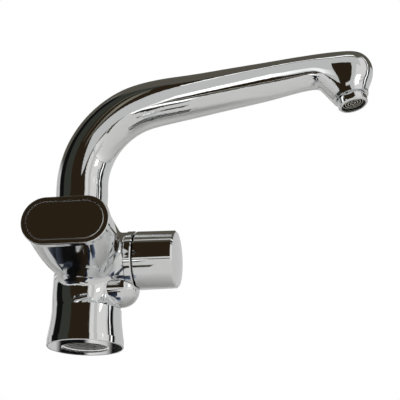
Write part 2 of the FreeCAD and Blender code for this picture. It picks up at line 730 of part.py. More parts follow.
def nose_sections(x0, z0):
    # Sections in the frame of the arm, each from a point on the slanted underside to one on the round nose
    tilt = math.radians(NOZZLE_TILT_DEG)
    across = V(math.cos(tilt), 0, math.sin(tilt))
    nose = V(NOSE_X, 0, NOSE_Z)
    end_centre = V(NOZZLE_X, 0, NOZZLE_Z)
    low_start = V(SLANT_START, 0, -SPOUT_TIP_R)
    low_end = end_centre - across * NOZZLE_R
    found = []
    for share, angle, side_r in NOSE_RAYS:
        a = math.radians(angle)
        low = low_start + (low_end - low_start) * share
        high = nose + V(math.cos(a), 0, math.sin(a)) * NOSE_R
        chord = high - low
        lean = 90 + math.degrees(math.atan2(chord.x, chord.z))
        found.append(placed_on_arm(x0, z0, (low + high) * 0.5, lean, chord.Length / 2, side_r))
    found.append(placed_on_arm(x0, z0, end_centre, 180 - NOZZLE_TILT_DEG, NOZZLE_R, NOZZLE_R))
    return found


def placed_on_arm(x0, z0, centre, lean, in_plane_r, side_r):
    rise = math.radians(ARM_RISE_DEG)
    x = x0 + centre.x * math.cos(rise) - centre.z * math.sin(rise)
    z = z0 + centre.x * math.sin(rise) + centre.z * math.cos(rise)
    return (x, z, lean - ARM_RISE_DEG, in_plane_r, side_r)


def nozzle_axis():
    tilt = math.radians(NOZZLE_TILT_DEG + ARM_RISE_DEG)
    return V(math.sin(tilt), 0, -math.cos(tilt))


def nozzle_base():
    x, z, lean, a, b = spout_sections(0)[-1]
    return V(x, 0, z)


def spout_loft(wall):
    wires = [ellipse_wire(x, z, lean, a, b) for x, z, lean, a, b in spout_sections(wall)]
    return Part.makeLoft(wires, True, False)


def swung(shape):
    # From the plane of the path to the spout's place on its seat
    shape.rotate(ORIGIN, UP, -SWING_DEG)
    shape.translate(SPOUT)
    return shape


def spout_tube():
    outside = spout_loft(0)
    inside = spout_loft(SPOUT_WALL)
    low = SEAT_Z + SPOUT_GAP
    spigot = rod(SPIGOT_R, SPIGOT_LOW_Z, low + SPOUT_WALL, UP, ORIGIN)
    floor = rod(SPOUT_R - SPOUT_WALL / 2, low, low + SPOUT_WALL, UP, ORIGIN)
    spout = outside.cut(inside).fuse([floor, spigot])
    spout = spout.cut(rod(SPIGOT_BORE_R, SPIGOT_LOW_Z - 1, low + SPOUT_WALL + 1, UP, ORIGIN))
    for height in (RING_LOW, RING_HIGH):
        z = SPIGOT_LOW_Z + height
        half = RING_WIRE_R + RUN
        spout = spout.cut(tube(SPIGOT_R + 1, SPIGOT_R - RING_GROOVE_D, z - half, z + half, UP, ORIGIN))
    z = SPIGOT_LOW_Z + KEEP_GROOVE
    half = KEEP_GROOVE_W / 2
    spout = spout.cut(tube(SPIGOT_R + 1, KEEP_GROOVE_R, z - half, z + half, UP, ORIGIN))
    # Threaded mouth for the aerator
    axis = nozzle_axis()
    base = nozzle_base()
    spout = spout.cut(rod(AERATOR_THREAD_R, -AERATOR_THREAD_L - WASHER_T, 1, axis, base))
    return swung(spout)


def spout_bush():
    low = SEAT_Z - BUSH_L
    sleeve = rod(BUSH_R - RUN, low, SEAT_Z, UP, SPOUT)
    flange = rod(BUSH_FLANGE_R, SEAT_Z, SEAT_Z + SPOUT_GAP, UP, SPOUT)
    bush = sleeve.fuse(flange).cut(rod(SPIGOT_R + RUN, low - 1, SEAT_Z + 2, UP, SPOUT))
    return bush.removeSplitter()


def spout_rings():
    rings = []
    for height in (RING_LOW, RING_HIGH):
        rings.append(ring(SPIGOT_R - RING_WIRE_R, RING_WIRE_R, SPIGOT_LOW_Z + height, UP, SPOUT))
    return Part.makeCompound(rings)


def spout_screw():
    place = V(SEAT_X, 0, SPIGOT_LOW_Z + KEEP_GROOVE)
    back = V(0, 1, 0)
    start = SPIGOT_R + SEAT
    end = start + KEEP_SCREW_L
    screw = rod(KEEP_SCREW_R, start, end, back, place)
    screw = screw.fuse(rod(KEEP_TIP_R, KEEP_GROOVE_R + SEAT, start, back, place))
    return screw.cut(hexagon(SCREW_KEY, end - SCREW_KEY_D, end + 1, back, place))


def aerator_housing():
    axis = nozzle_axis()
    base = nozzle_base()
    body = turned(
        [
            (AERATOR_BORE_R, -AERATOR_THREAD_L),
            (AERATOR_THREAD_R, -AERATOR_THREAD_L),
            (AERATOR_THREAD_R, 0),
            (AERATOR_THREAD_R - AERATOR_EDGE, 0),
            (AERATOR_THREAD_R - AERATOR_EDGE, AERATOR_GROOVE_W),
            (AERATOR_R - AERATOR_EDGE, AERATOR_GROOVE_W),
            (AERATOR_R, AERATOR_GROOVE_W + AERATOR_EDGE),
            (AERATOR_R, AERATOR_L - AERATOR_FACE_T),
            (AERATOR_R - AERATOR_FACE_T, AERATOR_L),
            (AERATOR_BORE_R - AERATOR_LIP, AERATOR_L),
            (AERATOR_BORE_R - AERATOR_LIP, AERATOR_L - AERATOR_FACE_T),
            (AERATOR_BORE_R, AERATOR_L - AERATOR_FACE_T),
        ],
        axis,
        base,
    )
    # Two spanner flats, front and back
    block = Part.makeBox(4 * AERATOR_R, AERATOR_R, AERATOR_FLAT_L)
    for y in (AERATOR_FLATS / 2, -AERATOR_FLATS / 2 - AERATOR_R):
        flat = block.copy()
        flat.translate(V(-2 * AERATOR_R, y, 2 * AERATOR_FACE_T - AERATOR_L))
        flat.rotate(ORIGIN, V(0, 1, 0), -NOZZLE_TILT_DEG - ARM_RISE_DEG)
        flat.translate(base)
        body = body.cut(flat)
    return swung(body)


def aerator_grille():
    # Cup with concentric rings joined by radial ribs
    axis = nozzle_axis()
    base = nozzle_base()
    face = AERATOR_L - AERATOR_FACE_T - RUN
    cup_r = AERATOR_BORE_R - RUN
    start = face - GRILLE_CUP_L
    body = tube(cup_r, cup_r - GRILLE_CUP_T, start, face, axis, base)
    pitch = (cup_r - GRILLE_CUP_T) / (GRILLE_RINGS + 0.5)
    low = face - GRILLE_INSET - GRILLE_T
    high = face - GRILLE_INSET
    pieces = [rod(GRILLE_HUB_R, low, high, axis, base)]
    for i in range(1, GRILLE_RINGS + 1):
        r = i * pitch
        pieces.append(tube(r + GRILLE_RIB_T / 2, r - GRILLE_RIB_T / 2, low, high, axis, base))
    side = V(0, 1, 0)
    cross = axis.cross(side)
    for i in range(GRILLE_RIBS):
        a = math.pi * 2 * i / GRILLE_RIBS
        out = side * math.cos(a) + cross * math.sin(a)
        wide = axis.cross(out) * (GRILLE_RIB_T / 2)
        corner = base + axis * low
        reach = out * (cup_r - GRILLE_CUP_T / 2)
        points = [corner + wide, corner + wide + reach, corner - wide + reach, corner - wide, corner + wide]
        pieces.append(Part.Face(Part.makePolygon(points)).extrude(axis * GRILLE_T))
    return swung(body.fuse(pieces).removeSplitter())


def aerator_washer():
    start = -AERATOR_THREAD_L - WASHER_T
    washer = tube(AERATOR_THREAD_R, WASHER_BORE_R, start, -AERATOR_THREAD_L, nozzle_axis(), nozzle_base())
    return swung(washer)


PIECES = {
    "tap_body": tap_body,
    "cartridge_base": cartridge_base,
    "cartridge_seals": cartridge_seals,
    "cartridge_disc_fixed": cartridge_disc_fixed,
    "cartridge_disc_moving": cartridge_disc_moving,
    "cartridge_carrier": cartridge_carrier,
    "mixing_cartridge": mixing_cartridge,
    "cartridge_nut": cartridge_nut,
    "cartridge_stem": cartridge_stem,
    "handle_shell": handle_shell,
    "handle_plate": handle_plate,
    "handle_screw": handle_screw,
    "valve_seal": valve_seal,
    "valve_disc_fixed": valve_disc_fixed,
    "valve_disc_moving": valve_disc_moving,
    "valve_headwork": valve_headwork,
    "valve_spindle": valve_spindle,
    "valve_collar": valve_collar,
    "knob": knob,
    "knob_cap": knob_cap,
    "knob_screw": knob_screw,
    "spout_tube": spout_tube,
    "spout_bush": spout_bush,
    "spout_rings": spout_rings,
    "spout_screw": spout_screw,
    "aerator_housing": aerator_housing,
    "aerator_grille": aerator_grille,
    "aerator_washer": aerator_washer,
}

os.makedirs("parts", exist_ok=True)
for name, make in PIECES.items():
    shape = make()
    box = shape.BoundBox
    print(name, shape.isValid(), len(shape.Solids), round(shape.Volume), [round(v, 1) for v in (
        box.XMin, box.XMax, box.YMin, box.YMax, box.ZMin, box.ZMax)])
    shape.exportStep("parts/" + name + ".step")
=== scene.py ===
import json
import math

import bpy
from mathutils import Matrix, Vector


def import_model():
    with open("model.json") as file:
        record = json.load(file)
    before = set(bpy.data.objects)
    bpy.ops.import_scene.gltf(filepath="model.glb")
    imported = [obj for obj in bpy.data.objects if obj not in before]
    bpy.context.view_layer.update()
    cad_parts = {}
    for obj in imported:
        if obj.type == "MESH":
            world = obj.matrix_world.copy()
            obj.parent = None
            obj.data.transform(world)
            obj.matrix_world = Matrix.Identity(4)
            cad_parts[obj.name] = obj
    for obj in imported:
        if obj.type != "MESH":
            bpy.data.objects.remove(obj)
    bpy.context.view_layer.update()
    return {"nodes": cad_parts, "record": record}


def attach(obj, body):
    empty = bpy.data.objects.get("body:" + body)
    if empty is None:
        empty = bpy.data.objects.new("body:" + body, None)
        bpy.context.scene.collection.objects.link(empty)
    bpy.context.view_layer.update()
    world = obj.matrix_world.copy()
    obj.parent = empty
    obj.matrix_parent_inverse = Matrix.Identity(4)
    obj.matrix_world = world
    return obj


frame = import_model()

MM = 0.001

# Directions of the spout and its nozzle at rest, as the tap is drawn
SPOUT_SWING = math.radians(9.0)
NOZZLE_TILT = math.radians(14.2)
RISER_X = -8.2 * MM

# Camera: stands below the deck and looks up at the tap
CAMERA_PLACE = Vector((0.2200, -0.7452, -0.1645))
CAMERA_YAW = math.radians(10.507)
CAMERA_PITCH = math.radians(19.758)
CAMERA_ROLL = math.radians(0.799)
LENS_MM = 98.9
SENSOR_MM = 36.0
CLIP_START = 0.05
CLIP_END = 20.0

# Threads
BASE_PITCH = 1.5 * MM
PORT_PITCH = 1.0 * MM
THREAD_DEPTH_SHARE = 0.58
THREAD_ROOT_IN_WALL = 0.06 * MM
THREAD_FOOT_SHARE = 0.86
THREAD_CREST_SHARE = 0.22

# Aerator: rings of the insert and the wire mesh behind them
GRILLE_PITCH = 1.811 * MM
GRILLE_RING_SHARE = 0.13
SIEVE_R = 8.0 * MM
SIEVE_DEPTH = 4.8 * MM
SIEVE_WALL = 0.4 * MM
SIEVE_RINGS = 5
SIEVE_DOME_STEP = 0.08 * MM
WIRE_WAVE = 0.7 * MM

# Bare casting inside the body, its colour painted near-black as the shade in the mouth and chamber: how far
# out, from what height and up to what height
BARE_SHADED_R = 19.8 * MM
BARE_SHADED_LOW = 9 * MM
BARE_SHADED_HIGH = 50 * MM

# Room round the tap
DOME_R = 3.0
FLOOR_R = 3.0
DECK_HOLE_R = 27.3 * MM
FLOOR_DROP = 0.3 * MM
LID_FRONT = 0.64
LID_BACK = 0.29
LID_SOFTNESS = 0.05
CARD_HEIGHT = 0.5 * MM
ARM_BOARDS_BEFORE = 42
ARM_LIGHTS_BEFORE = 41.5

MOUNTS = {m["name"]: m for m in frame["record"]["mounts"]}
NODES = frame["nodes"]


def clear_selection():
    if bpy.context.mode != "OBJECT":
        bpy.ops.object.mode_set(mode="OBJECT")
    bpy.ops.object.select_all(action="DESELECT")


def pick(obj):
    clear_selection()
    obj.select_set(True)
    bpy.context.view_layer.objects.active = obj


def edit(obj):
    pick(obj)
    bpy.ops.object.mode_set(mode="EDIT")
    bpy.ops.mesh.select_all(action="DESELECT")
    bpy.ops.object.mode_set(mode="OBJECT")


def pick_verts(obj, wanted):
    edit(obj)
    for v in obj.data.vertices:
        v.select = wanted(v.co)
    bpy.ops.object.mode_set(mode="EDIT")


def pick_faces(obj, wanted):
    edit(obj)
    for f in obj.data.polygons:
        f.select = wanted(f)
    bpy.ops.object.mode_set(mode="EDIT")


def settle(obj, matrix=None):
    # Leaves the object at the origin with its place in its mesh
    clear_selection()
    obj.data.transform(obj.matrix_world)
    obj.matrix_world = Matrix.Identity(4)
    if matrix is not None:
        obj.data.transform(matrix)
    obj.data.update()


def apply_modifiers(obj):
    pick(obj)
    for modifier in list(obj.modifiers):
        bpy.ops.object.modifier_apply(modifier=modifier.name)


def face_out(obj):
    edit(obj)
    bpy.ops.object.mode_set(mode="EDIT")
    bpy.ops.mesh.select_all(action="SELECT")
    bpy.ops.mesh.remove_doubles(threshold=0.000001)
    bpy.ops.mesh.normals_make_consistent(inside=False)
    bpy.ops.object.mode_set(mode="OBJECT")


def shade(obj, degrees=40):
    pick(obj)
    bpy.ops.object.shade_smooth_by_angle(angle=math.radians(degrees))


def thread_turns(name, mount, pitch, steps, skip):
    # Ridges of a mount's inside thread: one flank profile wound up the bore
    length = mount["dims"]["length_mm"] * MM
    depth = pitch * THREAD_DEPTH_SHARE
    root = mount["dims"]["r_mm"] * MM + THREAD_ROOT_IN_WALL
    clear_selection()
    middle = root - depth / 2
    bpy.ops.mesh.primitive_plane_add(size=1, location=(middle, 0, 0), rotation=(math.pi / 2, 0, 0))
    turns = bpy.context.object
    turns.name = name
    turns.scale = (depth, pitch * THREAD_FOOT_SHARE, 1)
    settle(turns)
    pick_verts(turns, lambda co: co.x < middle)
    bpy.ops.transform.resize(value=(1, 1, THREAD_CREST_SHARE), center_override=(root, 0, 0))
    bpy.ops.mesh.select_all(action="SELECT")
    bpy.ops.mesh.delete(type="ONLY_FACE")
    bpy.ops.object.mode_set(mode="OBJECT")
    winding = turns.modifiers.new("winding", "SCREW")
    winding.axis = "Z"
    winding.screw_offset = pitch
    winding.iterations = int((length - 2 * skip) / pitch)
    winding.steps = steps
    winding.render_steps = steps
    winding.use_merge_vertices = False
    apply_modifiers(turns)
    edit(turns)
    bpy.ops.object.mode_set(mode="EDIT")
    bpy.ops.mesh.select_non_manifold(extend=False, use_wire=False, use_boundary=True,
                                     use_multi_face=False, use_non_contiguous=False, use_verts=False)
    bpy.ops.mesh.edge_face_add()
    bpy.ops.object.mode_set(mode="OBJECT")
    face_out(turns)
    settle(turns, Matrix.Translation(Vector(mount["pos_m"]) + Vector((0, 0, skip + pitch / 2))))
    shade(turns, 30)
    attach(turns, "tap")


def nozzle_frame():
    # Matrix whose Z axis runs down the nozzle through the housing's middle, and how far down the housing ends
    turn = Matrix.Rotation(-SPOUT_SWING, 4, "Z") @ Matrix.Rotation(math.pi - NOZZLE_TILT, 4, "Y")
    spots = [turn.inverted() @ v.co for v in NODES["aerator_housing"].data.vertices]
    low = Vector(map(min, zip(*spots)))
    high = Vector(map(max, zip(*spots)))
    middle = (low + high) / 2
    return turn @ Matrix.Translation((middle.x, middle.y, 0)), high.z


def aerator_sieve():
    # Domed mesh disc that shows between the rings of the grille
    turn, end = nozzle_frame()
    clear_selection()
    bpy.ops.mesh.primitive_circle_add(vertices=48, radius=SIEVE_R, fill_type="NGON",
                                      location=(0, 0, end - SIEVE_DEPTH))
    sieve = bpy.context.object
    sieve.name = "aerator_sieve"
    settle(sieve)
    for ring in range(SIEVE_RINGS):
        pick_faces(sieve, lambda f: len(f.vertices) > 4)
        bpy.ops.mesh.inset(thickness=SIEVE_R / (SIEVE_RINGS + 1), depth=SIEVE_DOME_STEP)
        bpy.ops.object.mode_set(mode="OBJECT")
    thick = sieve.modifiers.new("wall", "SOLIDIFY")
    thick.thickness = SIEVE_WALL
    apply_modifiers(sieve)
    settle(sieve, turn)
    shade(sieve, 50)
    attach(sieve, "spout")


def new_group(name, inputs, outputs):
    group = bpy.data.node_groups.new(name, "ShaderNodeTree")
    for label, value in inputs:
        socket = group.interface.new_socket(name=label, in_out="INPUT", socket_type="NodeSocketFloat")
        socket.default_value = value
    for label, kind in outputs:
        group.interface.new_socket(name=label, in_out="OUTPUT", socket_type=kind)
    nodes = group.nodes
    return group, nodes.new("NodeGroupInput"), nodes.new("NodeGroupOutput")


def math_node(tree, operation, first, second=None, third=None):
    node = tree.nodes.new("ShaderNodeMath")
    node.operation = operation
    for i, value in enumerate((first, second, third)):
        if value is None:
            continue
        if isinstance(value, (int, float)):
            node.inputs[i].default_value = value
        else:
            tree.links.new(value, node.inputs[i])
    return node.outputs[0]


def object_place(tree):
    return tree.nodes.new("ShaderNodeTexCoord").outputs["Object"]


def along_axes(tree, place):
    parts = tree.nodes.new("ShaderNodeSeparateXYZ")
    tree.links.new(place, parts.inputs[0])
    return parts.outputs


def distance_from_axis(tree, first, second):
    squares = [math_node(tree, "MULTIPLY", side, side) for side in (first, second)]
    return math_node(tree, "SQRT", math_node(tree, "ADD", *squares))


def noise(tree, place, scale, detail=2.0, roughness=0.5):
    node = tree.nodes.new("ShaderNodeTexNoise")
    node.inputs["Scale"].default_value = scale
    node.inputs["Detail"].default_value = detail
    node.inputs["Roughness"].default_value = roughness
    tree.links.new(place, node.inputs["Vector"])
    return node.outputs["Fac"]


def ramp(tree, value, stops):
    node = tree.nodes.new("ShaderNodeValToRGB")
    elements = node.color_ramp.elements
    while len(elements) > 1:
        elements.remove(elements[-1])
    for i, (spot, colour) in enumerate(stops):
        stop = elements[0] if i == 0 else elements.new(spot)
        stop.position = spot
        stop.color = (*colour, 1)
    tree.links.new(value, node.inputs["Fac"])
    return node.outputs["Color"]


def mix_colour(tree, factor, first, second):
    node = tree.nodes.new("ShaderNodeMix")
    node.data_type = "RGBA"
    for socket, value in ((node.inputs["Factor"], factor), (node.inputs[6], first), (node.inputs[7], second)):
        if isinstance(value, tuple):
            socket.default_value = (*value, 1)
        elif isinstance(value, (int, float)):
            socket.default_value = value
        else:
            tree.links.new(value, socket)
    return node.outputs[2]


def make_handling_marks():
    # Marks that polished and plain metal share: faint wipes, hairlines and dried water spots
    tree, start, end = new_group(
        "handling_marks",
        [("Size", 1.0), ("Wipes", 0.3), ("Hairlines", 0.2), ("Spots", 0.2)],
        [("Mask", "NodeSocketFloat"), ("Height", "NodeSocketFloat")],
    )
    scaled = tree.nodes.new("ShaderNodeVectorMath")
    scaled.operation = "SCALE"
    tree.links.new(object_place(tree), scaled.inputs[0])
    tree.links.new(start.outputs["Size"], scaled.inputs["Scale"])
    spot = scaled.outputs[0]
    wipes = noise(tree, spot, 38, 4, 0.6)
    wipes = math_node(tree, "SMOOTH_MIN", math_node(tree, "MULTIPLY", wipes, wipes), 0.8, 0.2)
    stretch = tree.nodes.new("ShaderNodeMapping")
    stretch.inputs["Rotation"].default_value = (0.3, 0.2, 0.5)
    stretch.inputs["Scale"].default_value = (1, 0.05, 0.12)
    tree.links.new(spot, stretch.inputs["Vector"])
    hair = math_node(tree, "GREATER_THAN", noise(tree, stretch.outputs[0], 900, 1), 0.68)
    cells = tree.nodes.new("ShaderNodeTexVoronoi")
    cells.inputs["Scale"].default_value = 120
    tree.links.new(spot, cells.inputs["Vector"])
    rim = math_node(tree, "COMPARE", cells.outputs["Distance"], 0.16, 0.05)
    patchy = math_node(tree, "GREATER_THAN", noise(tree, spot, 30, 1), 0.58)
    rim = math_node(tree, "MULTIPLY", rim, patchy)
    total = math_node(tree, "MULTIPLY", wipes, start.outputs["Wipes"])
    total = math_node(tree, "MULTIPLY_ADD", hair, start.outputs["Hairlines"], total)
    total = math_node(tree, "MULTIPLY_ADD", rim, start.outputs["Spots"], total)
    tree.links.new(total, end.inputs["Mask"])
    height = math_node(tree, "MULTIPLY_ADD", hair, -0.4, noise(tree, spot, 22, 1))
    tree.links.new(height, end.inputs["Height"])
    return tree


def make_turning_rings():
    # Fine rings left by turning round the Y axis; Along adds rings that follow Y as well
    tree, start, end = new_group(
        "turning_rings",
        [("Rings per metre", 2500.0), ("Along", 0.0), ("Strength", 1.0)],
        [("Mask", "NodeSocketFloat")],
    )
    x, y, z = along_axes(tree, object_place(tree))
    along = math_node(tree, "MULTIPLY_ADD", y, start.outputs["Along"], distance_from_axis(tree, x, z))
    turns = math_node(tree, "MULTIPLY", along, start.outputs["Rings per metre"])
    wave = math_node(tree, "SINE", math_node(tree, "MULTIPLY", turns, math.tau))
    uneven = noise(tree, object_place(tree), 300, 2)
    value = math_node(tree, "MULTIPLY", math_node(tree, "MULTIPLY", wave, uneven), start.outputs["Strength"])
    tree.links.new(math_node(tree, "MULTIPLY_ADD", value, 0.5, 0.5), end.inputs["Mask"])
    return tree


HANDLING_MARKS = make_handling_marks()
TURNING_RINGS = make_turning_rings()
CHROME = ((0.73, 0.745, 0.76), (0.78, 0.785, 0.79), 0.03, 0.11)


def new_material(name, metallic, specular=0.5):
    material = bpy.data.materials.new(name)
    material.use_nodes = True
    tree = material.node_tree
    shader = tree.nodes["Principled BSDF"]
    shader.inputs["Metallic"].default_value = metallic
    shader.inputs["Specular IOR Level"].default_value = specular
    return material, tree, shader


def placed_group(tree, group, **values):
    node = tree.nodes.new("ShaderNodeGroup")
    node.node_tree = group
    for label, value in values.items():
        node.inputs[label.replace("_", " ")].default_value = value
    return node


def bump(tree, shader, height, strength, distance):
    node = tree.nodes.new("ShaderNodeBump")
    node.inputs["Strength"].default_value = strength
    node.inputs["Distance"].default_value = distance
    tree.links.new(height, node.inputs["Height"])
    tree.links.new(node.outputs[0], shader.inputs["Normal"])


def chrome_finish(name, dark, light, low_roughness, high_roughness, wave=0.04):
    material, tree, shader = new_material(name, 1.0)
    marks = placed_group(tree, HANDLING_MARKS, Size=1.0, Wipes=0.5, Hairlines=0.25, Spots=0.3)
    tone = noise(tree, object_place(tree), 14, 2)
    tree.links.new(mix_colour(tree, tone, dark, light), shader.inputs["Base Color"])
    spread = high_roughness - low_roughness
    rough = math_node(tree, "MULTIPLY_ADD", marks.outputs["Mask"], spread, low_roughness)
    tree.links.new(rough, shader.inputs["Roughness"])
    bump(tree, shader, marks.outputs["Height"], wave, 0.2 * MM)
    return material


def trim_chrome():
    # Front plate: its narrow bevel is less finely polished, so that it shows as a soft light line
    material = chrome_finish("trim_chrome", (0.74, 0.74, 0.74), (0.78, 0.78, 0.77), 0.025, 0.08, 0.03)
    tree = material.node_tree
    shader = tree.nodes["Principled BSDF"]
    facing = along_axes(tree, tree.nodes.new("ShaderNodeTexCoord").outputs["Normal"])
    bevel = math_node(tree, "LESS_THAN", math_node(tree, "ABSOLUTE", facing[1]), 0.95)
    polished = shader.inputs["Roughness"].links[0].from_socket
    tree.links.new(math_node(tree, "MULTIPLY_ADD", bevel, 0.33, polished), shader.inputs["Roughness"])
    return material


def body_chrome():
    # Chrome outside, and the bare machined alloy in the mouth and the chamber above it, painted near-black as
    # the shade inside them
    material = chrome_finish("body_chrome", *CHROME)
    tree = material.node_tree
    shader = tree.nodes["Principled BSDF"]
    x, y, z = along_axes(tree, object_place(tree))
    inside = math_node(tree, "LESS_THAN", distance_from_axis(tree, x, y), BARE_SHADED_R)
    deep = math_node(tree, "GREATER_THAN", z, BARE_SHADED_LOW)
    low = math_node(tree, "LESS_THAN", z, BARE_SHADED_HIGH)
    bare_and_shaded = math_node(tree, "MULTIPLY", inside, math_node(tree, "MULTIPLY", deep, low))
    plated = shader.inputs["Base Color"].links[0].from_socket
    grain = noise(tree, object_place(tree), 160, 4, 0.7)
    # Near-black colour of the rougher bare alloy: painted shade in the mouth and the chamber above it
    cast_with_painted_shade = mix_colour(tree, grain, (0.035, 0.03, 0.022), (0.07, 0.06, 0.045))
    tree.links.new(mix_colour(tree, bare_and_shaded, plated, cast_with_painted_shade), shader.inputs["Base Color"])
    polished = shader.inputs["Roughness"].links[0].from_socket
    tree.links.new(math_node(tree, "MULTIPLY_ADD", bare_and_shaded, 0.32, polished), shader.inputs["Roughness"])
    return material


def machined(name, dark, light, rough, along=0.0):
    material, tree, shader = new_material(name, 1.0)
    rings = placed_group(tree, TURNING_RINGS, Rings_per_metre=2800.0, Along=along, Strength=1.0)
    tone = mix_colour(tree, rings.outputs["Mask"], dark, light)
    tree.links.new(tone, shader.inputs["Base Color"])
    marks = placed_group(tree, HANDLING_MARKS, Size=2.0, Wipes=0.6, Hairlines=0.4, Spots=0.0)
    marked = math_node(tree, "MULTIPLY_ADD", marks.outputs["Mask"], 0.15, rough)
    tree.links.new(marked, shader.inputs["Roughness"])
    bump(tree, shader, rings.outputs["Mask"], 0.15, 0.05 * MM)
    return material


def moulded(name, dark, light, rough, grain, specular=0.5):
    material, tree, shader = new_material(name, 0.0, specular)
    fine = noise(tree, object_place(tree), grain, 3, 0.6)
    broad = noise(tree, object_place(tree), grain / 20, 2)
    tree.links.new(mix_colour(tree, broad, dark, light), shader.inputs["Base Color"])
    tree.links.new(math_node(tree, "MULTIPLY_ADD", fine, 0.18, rough), shader.inputs["Roughness"])
    bump(tree, shader, fine, 0.2, 0.05 * MM)
    return material


def grille_rings():
    # Black insert with light rings along its ring edges
    material, tree, shader = new_material("grille_rings", 0.0)
    turn = nozzle_frame()[0]
    place = tree.nodes.new("ShaderNodeMapping")
    place.vector_type = "TEXTURE"
    place.inputs["Location"].default_value = turn.to_translation()
    place.inputs["Rotation"].default_value = turn.to_euler()
    tree.links.new(object_place(tree), place.inputs["Vector"])
    sides = along_axes(tree, place.outputs[0])
    radial = distance_from_axis(tree, sides[0], sides[1])
    turns = math_node(tree, "DIVIDE", radial, GRILLE_PITCH)
    off_ring = math_node(tree, "ABSOLUTE", math_node(tree, "SUBTRACT", turns, math_node(tree, "ROUND", turns)))
    ring = math_node(tree, "LESS_THAN", off_ring, GRILLE_RING_SHARE)
    outside_hub = math_node(tree, "GREATER_THAN", radial, GRILLE_PITCH / 2)
    ring = math_node(tree, "MULTIPLY", ring, outside_hub)
    speckle = noise(tree, object_place(tree), 1800, 3, 0.6)
    light = mix_colour(tree, speckle, (0.42, 0.40, 0.34), (0.6, 0.58, 0.5))
    tree.links.new(mix_colour(tree, ring, (0.006, 0.006, 0.006), light), shader.inputs["Base Color"])
    tree.links.new(math_node(tree, "MULTIPLY_ADD", speckle, 0.2, 0.3), shader.inputs["Roughness"])
    bump(tree, shader, speckle, 0.2, 0.05 * MM)
    return material


def sieve_wire():
    # Woven wire: two crossing sets of ridges in the plane of the disc
    material, tree, shader = new_material("sieve_wire", 1.0)
    turn = tree.nodes.new("ShaderNodeMapping")
    turn.vector_type = "TEXTURE"
    turn.inputs["Rotation"].default_value = (0, math.pi - NOZZLE_TILT, -SPOUT_SWING)
    tree.links.new(object_place(tree), turn.inputs["Vector"])
    sides = along_axes(tree, turn.outputs[0])
    wires = []
    for axis in (0, 1):
        wave = math_node(tree, "SINE", math_node(tree, "MULTIPLY", sides[axis], math.tau / WIRE_WAVE))
        wires.append(math_node(tree, "ABSOLUTE", wave))
    weave = math_node(tree, "MINIMUM", wires[0], wires[1])
    hole = math_node(tree, "GREATER_THAN", weave, 0.55)
    # Wire and holes are painted near-black: painted shade deep in the nozzle, darkest in the holes
    tone = mix_colour(tree, hole, (0.02, 0.019, 0.017), (0.003, 0.003, 0.003))
    tree.links.new(tone, shader.inputs["Base Color"])
    tree.links.new(math_node(tree, "MULTIPLY_ADD", hole, 0.4, 0.35), shader.inputs["Roughness"])
    bump(tree, shader, weave, 0.6, -0.1 * MM)
    return material


def at_angle(degrees):
    return (degrees + 180) / 360


def glowing(name):
    # Material that only glows, with its tree and the socket that takes its colour
    material = bpy.data.materials.new(name)
    material.use_nodes = True
    tree = material.node_tree
    tree.nodes.remove(tree.nodes["Principled BSDF"])
    glow = tree.nodes.new("ShaderNodeEmission")
    tree.links.new(glow.outputs[0], tree.nodes["Material Output"].inputs["Surface"])
    return material, tree, glow.inputs["Color"]


def plain(colour):
    return [(0.0, colour), (1.0, colour)]


PALE = (0.62, 0.62, 0.61)
BRIGHT = (1.6, 1.6, 1.58)
LAMP_WHITE = (3.0, 3.0, 2.9)
SOFT_WHITE = (0.82, 0.81, 0.79)
BROWN = (0.027, 0.018, 0.0095)
BLACK = (0.006, 0.006, 0.006)
GREEN_GREY = (0.040, 0.044, 0.036)
OLIVE = (0.105, 0.098, 0.078)
NAVY = (0.012, 0.016, 0.035)
SLATE = (0.05, 0.06, 0.08)
SKY = (0.12, 0.16, 0.28)
STREAK = (0.26, 0.25, 0.20)

# Panels of the tent, each from one angle to the next, measured from -Y towards +X in degrees
TENT_PANELS = [
    (-180.0, PALE), (-163.5, PALE), (-152.0, PALE), (-151.0, BLACK), (-148.5, BLACK), (-147.5, SOFT_WHITE),
    (-131.0, PALE), (-130.0, BLACK), (-128.5, BLACK), (-127.5, PALE), (-106.5, PALE), (-101.0, BLACK),
    (-74.0, BLACK), (-71.0, GREEN_GREY), (-38.0, GREEN_GREY), (-34.0, BROWN), (25.5, BROWN), (28.5, SOFT_WHITE),
    (82.0, SOFT_WHITE), (90.0, PALE), (92.0, BLACK), (97.0, BLACK), (98.0, BRIGHT), (101.0, BRIGHT),
    (102.0, BLACK), (110.0, BLACK), (115.5, PALE), (180.0, PALE),
]


